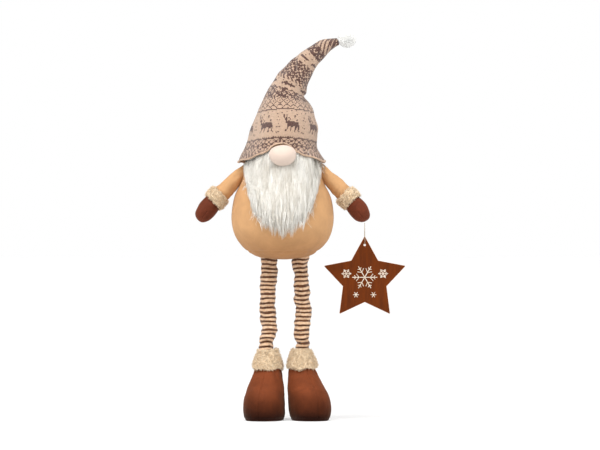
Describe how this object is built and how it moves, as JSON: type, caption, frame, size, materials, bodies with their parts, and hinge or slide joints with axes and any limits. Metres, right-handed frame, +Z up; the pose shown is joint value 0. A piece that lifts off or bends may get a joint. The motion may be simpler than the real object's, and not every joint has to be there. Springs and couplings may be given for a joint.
{
  "type": "tomte gnome figurine",
  "caption": "Standing plush gnome on telescopic legs, with a bent knitted cone hat, a long fur beard, stuffed arms and big boots, and a board star hung on twine from one mitten.",
  "frame": {"origin": "on the standing surface, below the middle of the whole model's box", "axes": "+Z up, the figure faces -Y, its own left hand, which holds the star, is on +X"},
  "size_m": [0.4579, 0.239, 0.8516],
  "materials": {
    "velour": "short pile",
    "boot_felt": "brushed felt",
    "mitten_felt": "brushed felt",
    "sole_felt": "dense felt",
    "sherpa": "curled pile",
    "hat_knit": "two-colour knit",
    "jersey": "striped jersey",
    "faux_fur": "long pile",
    "backing": "woven",
    "nose_cloth": "smooth jersey",
    "pompom_yarn": "cut yarn",
    "fibrefill": "loose fibre",
    "twine": "twisted",
    "star_board": "stained, matt",
    "plywood": "plain",
    "steel_tube": "drawn",
    "steel_screw": "zinc plated",
    "wire": "plain",
    "grey_plastic": "moulded",
    "white_plastic": "moulded",
    "pellets": "in a cloth bag"
  },
  "bodies": {
    "torso": {"body_cover": "velour", "body_filling": "fibrefill", "hip_board": "plywood", "flange_screws": "steel_screw", "beard": "faux_fur", "beard_backing": "backing", "nose_cover": "nose_cloth", "nose_filling": "fibrefill", "hat_lower": "hat_knit", "hat_filling_lower": "fibrefill", "hat_wire_lower": "wire", "right_tube_flange": "grey_plastic", "right_outer_tube": "steel_tube", "right_tube_cap": "grey_plastic", "right_slide_bush": "white_plastic", "right_sock": "jersey", "left_tube_flange": "grey_plastic", "left_outer_tube": "steel_tube", "left_tube_cap": "grey_plastic", "left_slide_bush": "white_plastic", "left_sock": "jersey"},
    "hat_tip": {"hat_upper": "hat_knit", "hat_filling_upper": "fibrefill", "hat_wire_upper": "wire", "pompom": "pompom_yarn"},
    "right_boot": {"right_inner_tube": "steel_tube", "right_stop_plug": "white_plastic", "right_foot_flange": "grey_plastic", "right_foot_screws": "steel_screw", "right_sole_panel": "sole_felt", "right_sole_board": "plywood", "right_ballast_bag": "pellets", "right_boot_filling": "fibrefill", "right_boot_cover": "boot_felt", "right_boot_cuff": "sherpa"},
    "left_boot": {"left_inner_tube": "steel_tube", "left_stop_plug": "white_plastic", "left_foot_flange": "grey_plastic", "left_foot_screws": "steel_screw", "left_sole_panel": "sole_felt", "left_sole_board": "plywood", "left_ballast_bag": "pellets", "left_boot_filling": "fibrefill", "left_boot_cover": "boot_felt", "left_boot_cuff": "sherpa"},
    "right_arm": {"right_arm_cover": "velour", "right_arm_filling": "fibrefill", "right_arm_cuff": "sherpa", "right_mitten_cover": "mitten_felt", "right_mitten_filling": "fibrefill"},
    "left_arm": {"left_arm_cover": "velour", "left_arm_filling": "fibrefill", "left_arm_cuff": "sherpa", "left_mitten_cover": "mitten_felt", "left_mitten_filling": "fibrefill"},
    "star_cord": {"star_cord": "twine"},
    "star": {"star_plate": "star_board"}
  },
  "joints": [
    {"name": "right_leg_slide", "type": "slide", "parent": "torso", "child": "right_boot", "axis": [0, 0, 1], "range_m": [-0.029, 0.12], "deforming": ["right_sock"]},
    {"name": "left_leg_slide", "type": "slide", "parent": "torso", "child": "left_boot", "axis": [0, 0, 1], "range_m": [-0.029, 0.12], "deforming": ["left_sock"]},
    {"name": "right_arm_swing", "type": "hinge", "parent": "torso", "child": "right_arm", "pos_m": [-0.122, 0.0065, 0.546], "axis": [0, 1, 0], "range_deg": [-4, 30], "stiffness_Nm_per_rad": 1.5, "springref_deg": 1.15},
    {"name": "left_arm_swing", "type": "hinge", "parent": "torso", "child": "left_arm", "pos_m": [0.046, 0.0065, 0.546], "axis": [0, -1, 0], "range_deg": [-4, 30], "stiffness_Nm_per_rad": 1.5, "springref_deg": 2.01},
    {"name": "hat_bend", "type": "hinge", "parent": "torso", "child": "hat_tip", "pos_m": [-0.024, 0.0065, 0.72], "axis": [0, 1, 0], "range_deg": [-40, 30]},
    {"name": "cord_swing", "type": "hinge", "parent": "left_arm", "child": "star_cord", "pos_m": [0.141, -0.0135, 0.4315], "axis": [1, 0, 0], "range_deg": [-20, 20]},
    {"name": "star_swing", "type": "hinge", "parent": "star_cord", "child": "star", "pos_m": [0.141, -0.0135, 0.382], "axis": [0, -1, 0], "range_deg": [-10, 20]}
  ]
}
